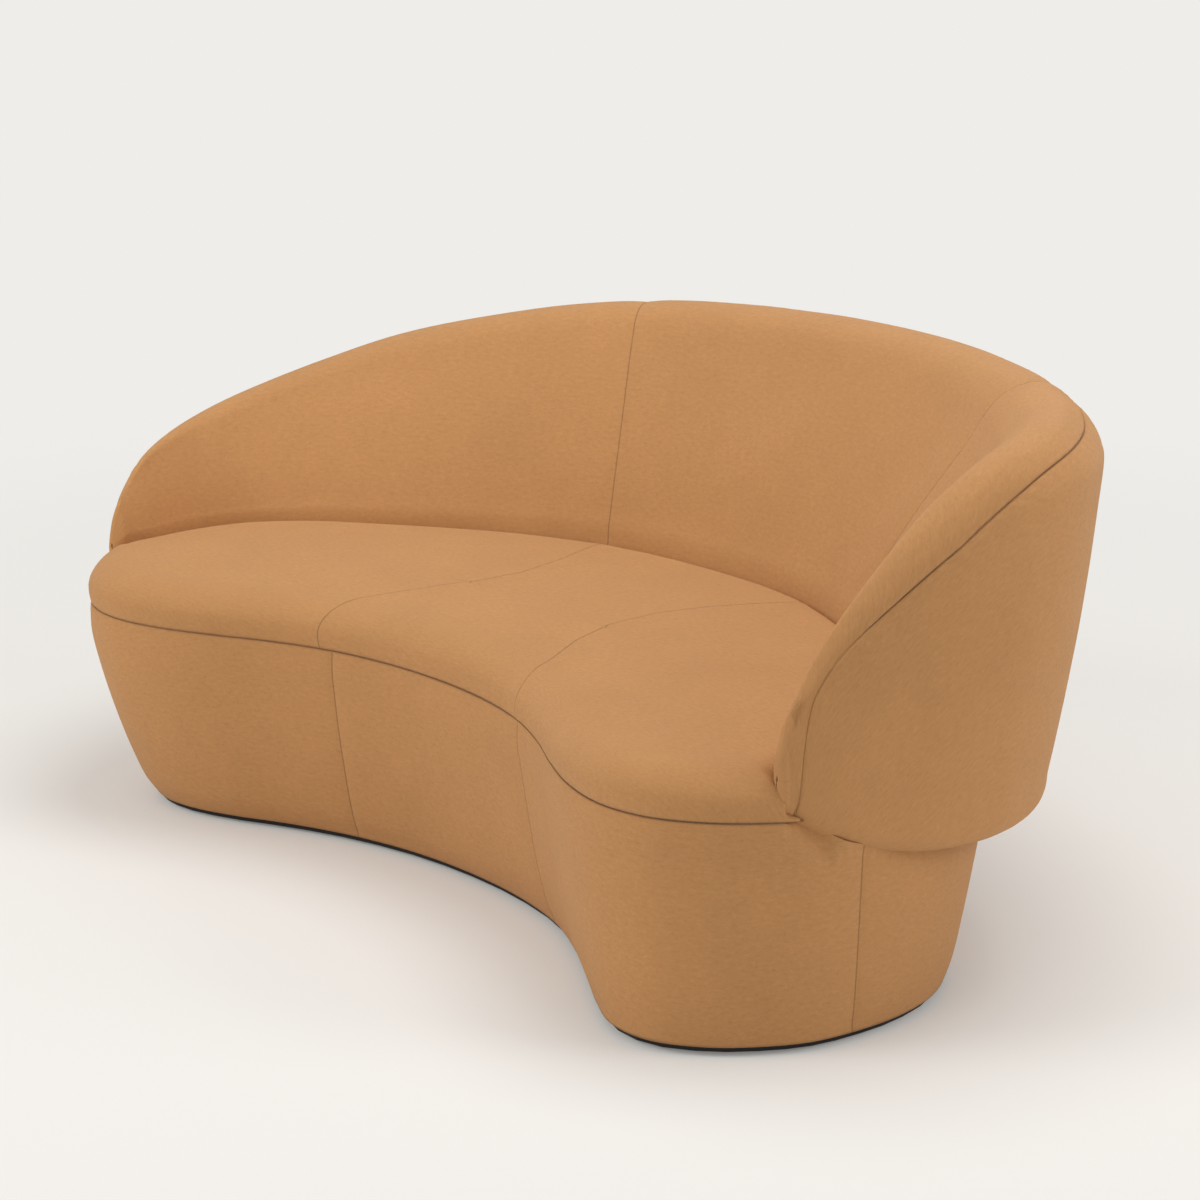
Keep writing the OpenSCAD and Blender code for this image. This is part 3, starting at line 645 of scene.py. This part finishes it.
def plain_finish(name, colour, rough, bump, metal=0.0, grain=(1.0, 1.0, 1.0)):
    """Frame and fitting finishes: a base colour varied by stretched noise, with its relief."""
    mat, tree, bsdf = new_material(name)
    link = tree.links.new
    given(bsdf, {"Metallic": metal})
    place = new_node(tree, "ShaderNodeTexCoord")
    lie = new_node(tree, "ShaderNodeMapping", {"Scale": grain})
    link(place.outputs["Object"], lie.inputs["Vector"])
    figure = new_node(tree, "ShaderNodeTexNoise", {"Scale": 30.0, "Detail": 6.0})
    link(lie.outputs["Vector"], figure.inputs["Vector"])
    tones = new_node(tree, "ShaderNodeValToRGB")
    dark, light = tones.color_ramp.elements
    dark.position, light.position = 0.3, 0.7
    dark.color = tuple(c * 0.72 for c in colour) + (1.0,)
    light.color = tuple(min(1.0, c * 1.18) for c in colour) + (1.0,)
    link(figure.outputs["Fac"], tones.inputs["Fac"])
    link(tones.outputs["Color"], bsdf.inputs["Base Color"])
    gloss = new_node(tree, "ShaderNodeMapRange", {"To Min": max(0.05, rough - 0.12),
                                                  "To Max": min(1.0, rough + 0.12)})
    link(figure.outputs["Fac"], gloss.inputs["Value"])
    link(gloss.outputs["Result"], bsdf.inputs["Roughness"])
    relief = new_node(tree, "ShaderNodeBump", {"Strength": bump, "Distance": 0.0008})
    link(figure.outputs["Fac"], relief.inputs["Height"])
    link(relief.outputs["Normal"], bsdf.inputs["Normal"])
    return mat


# upholstery of the backrest
def back_stations():
    """Stations from arm tip to arm tip, closer together where the arms curl in."""
    t = np.linspace(-1, 1, BACK_STEPS)
    return TIP * np.sign(t) * np.abs(t) ** 0.9


def outer_side(q):
    """From the ridge's top down the outer face to the rolled lower edge, with the run along it."""
    w, zb, low = q["w"], q["zb"], q["zb"] + ROLL_H
    foot, lip = back_foot(zb), lip_width(w)
    heights = [low + f * (q["rise"] - low) for f in OUTER_FACE]
    pairs = [(q["rt"] + q["ht"] * a, q["rise"] + q["ht"] * b) for a, b in RIDGE_OUTSIDE]
    pairs += [(face_out(q, z), z) for z in heights]
    pairs += [(w, low)] + [(w - a * lip, zb + b) for a, b in LIP_ROLL]
    pairs += [(w - lip, np.minimum(foot, zb + LIP_RISE)), (w - lip, foot)]
    curve = smooth_sections(sections(pairs), CURVE_STEPS)
    return curve, lengths(curve, 1)


def sewn_run(s, run):
    """Run from the ridge's top to the sewn line, which falls to the lip at the arm's nose."""
    far = np.abs(s)
    shoulder = SEWN_DROP - SEWN_LESS * np.clip((far - 0.72) / 0.18, 0, 1)
    fall = np.clip((far - NOSE_FROM) / (PANEL_END - NOSE_FROM), 0, 1) ** 3.2
    past = np.clip((far - PANEL_END) / 0.004, 0, 1)
    return shoulder + (run[:, -1] - shoulder - SEWN_END) * fall + SEWN_TUCK * past


def calmed(move, s):
    """Movement of the cloth, nearly still at the arm tips."""
    tip = np.clip(1 - (0.985 - np.abs(s)) / 0.12, 0, 1)[:, None]
    return move * (1 - 0.9 * tip)


def back_inside_cover():
    """Seat side of the backrest and arms, over the ridge, down to the sewn line outside."""
    s = back_stations()
    q = stations(s)
    # the ridge's inner side is slimmer towards the arms
    lean = q["ht"] * (1 - 0.55 * np.clip((np.abs(s) - 0.68) / 0.2, 0, 1))
    top_r = q["rt"] + RIDGE_INSIDE[0][0] * lean
    top_z = q["rise"] + RIDGE_INSIDE[0][1] * q["ht"]
    pairs = [(2.0, SEAT_H - 70.0), (1.0, SEAT_H - 20.0)]
    for f in INNER_FACE:
        swell = INNER_SWELL * math.sin(math.pi * f) * np.minimum(1, q["ht"] / FULL_RIDGE)
        pairs.append((f * top_r - swell, SEAT_H + f * (top_z - SEAT_H)))
    pairs += [(q["rt"] + lean * a, q["rise"] + q["ht"] * b) for a, b in RIDGE_INSIDE]
    face = smooth_sections(sections(pairs), 130)
    outer, outer_run = outer_side(q)
    tail = part_of(outer, outer_run, np.zeros(len(s)), sewn_run(s, outer_run), 40)
    curve = smooth_sections(np.concatenate([face[:, ::3], tail[:, 1::3], tail[:, -1:]], axis=1),
                            134)
    skin = in_space(q, curve)
    side = surface_normals(skin)
    run, rise_run = lengths(skin, 0), lengths(skin, 1)
    edge = rise_run[:, -1:] - rise_run
    # run up the face from the seat's height, at the middle of the backrest
    up = rise_run[len(s) // 2] - 70
    seam = between_sides(s, run, np.interp(up, *BACK_SEAM_LEFT), np.interp(up, *BACK_SEAM_RIGHT))
    # sewn joints pull in, the filling swells between them
    move = slow_swell(skin, 5, 330.0) * 1.6 + slow_swell(skin, 6, 120.0) * 0.35
    move -= dip(seam, 1.0, 5.0) + dip(seam, 2.0, 26.0)
    move -= 1.6 * np.exp(-edge / 3.0) + dip(edge, 3.0, 20.0)
    move += puckers(run, edge, 11, 28.0, 0.6, 26.0)
    move += puckers(rise_run, seam, 12, 20.0, 0.35, 26.0)
    move = calmed(move, s)
    # the part behind the seat stays where it is
    shown = np.clip((skin[:, :, 2] - SEAT_H + 20) / 30, 0, 1)
    outside = np.arange(skin.shape[1])[None] > 0.5 * skin.shape[1]
    skin = skin + side * (move * np.where(outside, 1, shown))[:, :, None]
    wall = inner_wall(q, curve, np.minimum(24.0, 0.4 * lean))
    uv = np.stack([np.broadcast_to(run[:, run.shape[1] // 2][:, None], run.shape), rise_run], 2)
    rings, *fields = walled(skin, uv, seam, edge, wall)
    piece = make_piece("back_inside_cover", *with_noses(rings, fields, q), 0.55)
    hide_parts("back_pad_left", "back_pad_middle", "back_pad_right", "arm_pad_left",
                "arm_pad_right")
    return piece


def back_outside_cover():
    """Outer side of the backrest and arms, from the sewn line to the rolled lower edge."""
    s = back_stations() * PANEL_END / TIP
    q = stations(s)
    outer, outer_run = outer_side(q)
    start = sewn_run(s, outer_run) + SEWN_GAP
    curve = part_of(outer, outer_run, start, outer_run[:, -1], 112)
    skin = in_space(q, curve)
    side = surface_normals(skin)
    run, edge = lengths(skin, 0), lengths(skin, 1)
    hold = np.full(run.shape[1], PANEL_SEAM)
    seam = between_sides(s, run, hold, hold)
    # run up from the start of the rolled lower edge
    above = edge[:, -1:] - edge - 40
    move = slow_swell(skin, 8, 300.0) * 1.5 + slow_swell(skin, 9, 110.0) * 0.3
    move -= dip(seam, 1.0, 5.0) + dip(seam, 1.6, 24.0)
    move -= 1.6 * np.exp(-edge / 3.0) + dip(edge, 3.0, 30.0)
    move += puckers(run, edge, 13, 26.0, 0.8, 24.0)
    move += 0.9 * puckers(run, above, 14, 24.0, 1.0, 30.0)
    move = calmed(move, s)
    skin = skin + side * (move * np.clip(above / 30, 0, 1))[:, :, None]
    depth = np.minimum(np.minimum(22.0, 0.3 * q["w"]), 0.35 * q["ht"])
    wall = inner_wall(q, curve, depth)
    uv = np.stack([np.broadcast_to(run[:, run.shape[1] // 3][:, None], run.shape), edge], 2)
    piece = make_piece("back_outside_cover", *walled(skin, uv, seam, edge, wall), 0.5)
    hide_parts("outer_panel_left", "outer_panel_middle", "outer_panel_right")
    return piece


# upholstery of the seat and base
# inset and height of the seat's rolled edge, and of the base from the plinth to the seam
SEAT_ROLL = np.array([[-1.2, 345.05], [-2, 347.5], [-3.4, 354], [-4.8, 363], [-4.9, 371],
                      [-3, 380], [2, 389], [9, 397.5], [18, 405], [28, 411], [40, 415.6],
                      [55, 418.6], [SHOULDER, SEAT_H]])
BASE_SIDE = np.array([[TUCK - 0.5, 13.5], [0.97 * TUCK, 17], [0.89 * TUCK, 27],
                      [0.77 * TUCK, 44], [0.63 * TUCK, 74], [0.46 * TUCK, 118],
                      [0.27 * TUCK, 177], [0.10 * TUCK, 238], [-2, 292], [-3.4, 325],
                      [-2.8, 336], [-2, 342.5], [-1.2, 344.95]])
# end of the base's inner side, which comes down over the plinth
BASE_HEM = [[TUCK + 6.5, 22.6], [TUCK + 5.5, 15.0], [TUCK + 3.0, 13.8]]
BASE_THICK = 22.0
# inset and height of the seat's underside and of the core that stands on the deck
SEAT_UNDER = ((30.0, 345.4), (58.8, 345.4), (59.2, 320.0), (59.2, 288.5))
CORE_IN, CORE_Z = 59.2, 288.5
# middle line of the seat, an arc with its ends at SPINE_END
SPINE_END, SPINE_Y, SPINE_BOW = 560, 235, 130
# share of the way to the middle line at which the rings end, and at which the core's do
LAST_RING = 0.985
CORE_RINGS = (0.35, 0.7, LAST_RING)
CROWN_RINGS = 62


def outline():
    """Even places round the seat's outline, with the line, its outward side and the run."""
    u = (np.arange(OUTLINE_STEPS) + 0.5) / OUTLINE_STEPS
    line, out = seam_line(u)
    step = np.linalg.norm(np.diff(line, axis=0), axis=1)
    return u, line, out, np.concatenate([[0], np.cumsum(step)])


def at_height(places, z):
    """Places in plan, all at height z."""
    return np.concatenate([places, np.full((len(places), 1), z)], 1)


def under_arms(p):
    """Where places p lie against the backrest: past its foot, share, edge, way out, width."""
    s = np.linspace(-1, 1, 1201)
    q = stations(s)
    flat = p.reshape(-1, 2)
    near = np.empty(len(flat), int)
    lot = 4000
    for i in range(0, len(flat), lot):
        d = flat[i:i + lot, None, :] - q["foot"][None]
        near[i:i + lot] = np.argmin((d ** 2).sum(2), axis=1)
    r = ((flat - q["foot"][near]) * q["out"][near]).sum(1)
    # past the arm tips there is no backrest
    past = np.zeros(len(flat))
    for k, other in ((0, 5), (len(s) - 1, len(s) - 6)):
        go = q["foot"][k] - q["foot"][other]
        go /= np.linalg.norm(go)
        hit = near == k
        past[hit] = ((flat[hit] - q["foot"][k]) * go).sum(1)
    share = 1 - np.clip((past - 3) / 10, 0, 1)
    shape = p.shape[:-1]
    zb, w = (q[word][near].reshape(shape) for word in ("zb", "w"))
    return r.reshape(shape), share.reshape(shape), zb, q["out"][near].reshape(p.shape), w


def meet_back(p, soft):
    """Hold places back from the backrest's foot; gives how far off they are and how held."""
    r, share, zb, away, _ = under_arms(p[:, :, :2])
    over = np.clip((p[:, :, 2] - back_foot(zb) + 8) / 8, 0, 1)
    over = (eased(over) if soft else over) * share
    bend = held_below(r, -1, 23)
    p[:, :, :2] += away * ((bend - r) * over)[:, :, None]
    return -np.where(over > 0.5, bend, r), over


def seat_cover():
    """Seat cushion: rolled edge, crowned top running down to the joint with the backrest."""
    _, line, out, run = outline()
    rim = smooth_sections(SEAT_ROLL[None], 26)[0]
    shoulder = line - out * SHOULDER
    spine_x = np.clip(shoulder[:, 0], -SPINE_END, SPINE_END)
    spine = np.stack([spine_x, SPINE_Y - SPINE_BOW * (spine_x / SPINE_END) ** 2], 1)
    rings = [at_height(line - out * d, z) for d, z in rim]
    for k in range(1, CROWN_RINGS + 1):
        t = LAST_RING * k / CROWN_RINGS
        rings.append(at_height(shoulder + (spine - shoulder) * t,
                               SEAT_H + CROWN * (1 - (1 - t) ** 2)))
    skin = np.stack(rings)
    up = lengths(rim[None], 1)[0]
    rise = np.full(skin.shape[:2], 400.0)
    rise[:len(rim)] = up[:, None]
    # joint with the backrest and arms
    gap, over = meet_back(skin, True)
    close = np.exp(-np.clip(gap - 1, 0, None) / 11.0) * over
    lift = np.clip((skin[:, :, 2] - SEAM_H) / (SEAT_H - SEAM_H), 0, 1)
    skin[:, :, 2] -= 13.0 * close * lift
    # sewn lines across the seat, running out over the rolled edge
    seam_out, seam_y = SEAT_SEAM[:, 0], SEAT_SEAM[:, 1]
    y = skin[:, :, 1]
    slope = np.interp(y, seam_y, np.gradient(seam_out, seam_y))
    seam = (np.abs(skin[:, :, 0]) - np.interp(y, seam_y, seam_out)) / np.sqrt(1 + slope ** 2)
    behind = np.clip((y - 720) / 10, 0, 1)
    side = surface_normals(skin)
    move = slow_swell(skin, 21, 300.0) * 1.5 + slow_swell(skin, 22, 105.0) * 0.35
    move -= dip(seam, 0.8, 5.0) + dip(seam, 1.6, 30.0)
    # most gathers are at the front of the viewer's right lobe
    front = np.exp(-((skin[0, :, 0] - 560) / 190) ** 2) * (skin[0, :, 1] < 60)
    edge_run = np.broadcast_to(run[None, :], skin.shape[:2])
    move += puckers(edge_run, rise, 23, 26.0, 0.7, 17.0) * (0.35 + 1.2 * front[None, :])
    open_top = 1 - np.clip(close * 1.6, 0, 1)
    off_edge = np.clip(rise / 6.0, 0, 1)
    skin += side * (move * open_top * off_edge)[:, :, None]
    # underside, and the core that stands on the deck
    core_edge = line - out * CORE_IN
    core = [at_height(line - out * d, z) for d, z in SEAT_UNDER]
    core += [at_height(core_edge + (spine - core_edge) * t, CORE_Z) for t in CORE_RINGS]
    core = np.stack(core)
    meet_back(core, False)
    seam = seam + 500 * behind
    edge = np.where(close > 0.5, 60.0, rise)
    # the cloth's own map: the plan, let out over the rolled edge
    let_out = np.where(rise < 200, up[-1] - rise, 0)
    flat = skin[:, :, :2] + out[None] * let_out[:, :, None]
    far = np.full(core.shape[:2], NO_SEAM)
    parts = ((core[::-1], skin), (core[::-1, :, :2] + 3000, flat), (far, seam), (far, edge))
    piece = make_piece("seat_cover", *(np.concatenate(pair, axis=0) for pair in parts), 0.6)
    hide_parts("seat_pad_left", "seat_pad_middle", "seat_pad_right")
    return piece


def base_cover():
    """Skirt of the base: upright at the seat seam, drawn in towards the plinth."""
    u, line, out, run = outline()
    taper = taper_at(u)
    taper = taper + (1 - taper) * 0.12
    side_curve = smooth_sections(BASE_SIDE[None], 66)[0]
    inner = set_back(side_curve[None], np.array([BASE_THICK]))[0][::WALL_THIN][::-1]
    inner[:, 1] = np.clip(inner[:, 1], 22.6, 344.6)
    inner = np.concatenate([inner, BASE_HEM])

    def stand(curve):
        insets = [d * taper if d > 0 else np.full(len(line), d) for d in curve[:, 0]]
        return np.stack([at_height(line - out * d[:, None], z)
                         for d, z in zip(insets, curve[:, 1])], 1)

    skin, back = stand(side_curve), stand(inner)
    # under the arms the base gives way to the outer panels' lower edge
    for p in (skin, back):
        r, share, zb, away, wide = under_arms(p[:, :, :2])
        tuck_in = eased(np.clip((p[:, :, 2] - zb + 52) / 46, 0, 1)) * share
        reach = wide - 0.34 * lip_width(wide)
        p[:, :, :2] -= away * (np.clip(r - reach, 0, 60) * tuck_in)[:, :, None]
        cap = back_foot(zb) - 2 + 13 * np.clip((zb - 266) / 14, 0, 1)
        inside = np.clip((r + 14) / 6, 0, 1) * share
        z = p[:, :, 2]
        p[:, :, 2] += (held_below(z, cap, 14) - z) * inside
    side = surface_normals(skin)
    run = np.broadcast_to(run[:, None], skin.shape[:2])
    rise = lengths(skin, 1)
    to_top = rise[:, -1:] - rise
    # upright sewn joints: two on the front, one on each side, two at the rear
    places = sorted(run[np.argmin((line[:, 0] - x) ** 2 + (line[:, 1] - y) ** 2), 0]
                    for x, y in BASE_SEAMS)
    total = run[-1, 0] + run[1, 0]
    off = (run[:, :, None] - np.array(places) + 0.5 * total) % total - 0.5 * total
    turn = np.where(np.searchsorted(places, run) % 2 == 0, 1.0, -1.0)
    seam = np.abs(off).min(axis=2) * turn
    move = slow_swell(skin, 31, 320.0) * 1.4 + slow_swell(skin, 32, 100.0) * 0.3
    move -= dip(seam, 1.2, 5.0) + dip(seam, 1.4, 24.0)
    move += puckers(run, to_top, 33, 24.0, 0.4, 22.0)
    # creases under the arms
    lip_at = np.clip(1 - np.abs(skin[:, :, 2] - 285) / 60, 0, 1)
    by_arm = np.exp(-((line[:, 1] - 150) / 150) ** 2) * (np.abs(line[:, 0]) > 700)
    move += 1.3 * waves(run, 34, 24.0) * lip_at ** 2 * by_arm[:, None]
    far = np.clip(to_top / 6, 0, 1) * np.clip(rise / 12, 0, 1)
    skin = skin + side * (move * far)[:, :, None]
    piece = make_piece("base_cover", *walled(skin, np.stack([run, rise], 2), seam, to_top, back),
                       0.5, round_way=True)
    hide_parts("base_pad_front_left", "base_pad_front_middle", "base_pad_front_right",
                "base_pad_rear")
    return piece


def dress_frame():
    """Finishes for the plain frame, plinth, glides, bolts and webbing."""
    ply = plain_finish("birch plywood", (0.62, 0.43, 0.25), 0.6, 0.15, grain=(1.0, 6.0, 6.0))
    post = plain_finish("pine batten", (0.58, 0.38, 0.19), 0.6, 0.15, grain=(6.0, 6.0, 1.0))
    black = plain_finish("black stained plinth", (0.007, 0.0065, 0.006), 0.6, 0.1,
                         grain=(1.0, 1.0, 5.0))
    nylon = plain_finish("black nylon glide", (0.03, 0.03, 0.03), 0.42, 0.05)
    zinc = plain_finish("zinc plated bolt", (0.62, 0.62, 0.60), 0.32, 0.05, metal=1.0)
    strap = plain_finish("jute webbing", (0.42, 0.31, 0.18), 0.85, 0.4, grain=(8.0, 8.0, 1.0))
    plan = {"floor_glides": nylon, "plinth_ring": black, "deck_bolts": zinc,
            "webbing_lengthwise": strap, "webbing_crosswise": strap}
    padded = ("back_pad", "arm_pad", "outer_panel", "base_pad", "seat_pad")
    for name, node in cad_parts.items():
        if name.startswith(padded):
            continue
        finish = plan.get(name, post if name.startswith("back_post") else ply)
        for slot in node.material_slots:
            slot.material = finish


place_camera()
studio_room()
cloth = cloth_finish()
for cover in (back_inside_cover(), back_outside_cover(), seat_cover(), base_cover()):
    cover.data.materials.append(cloth)
dress_frame()
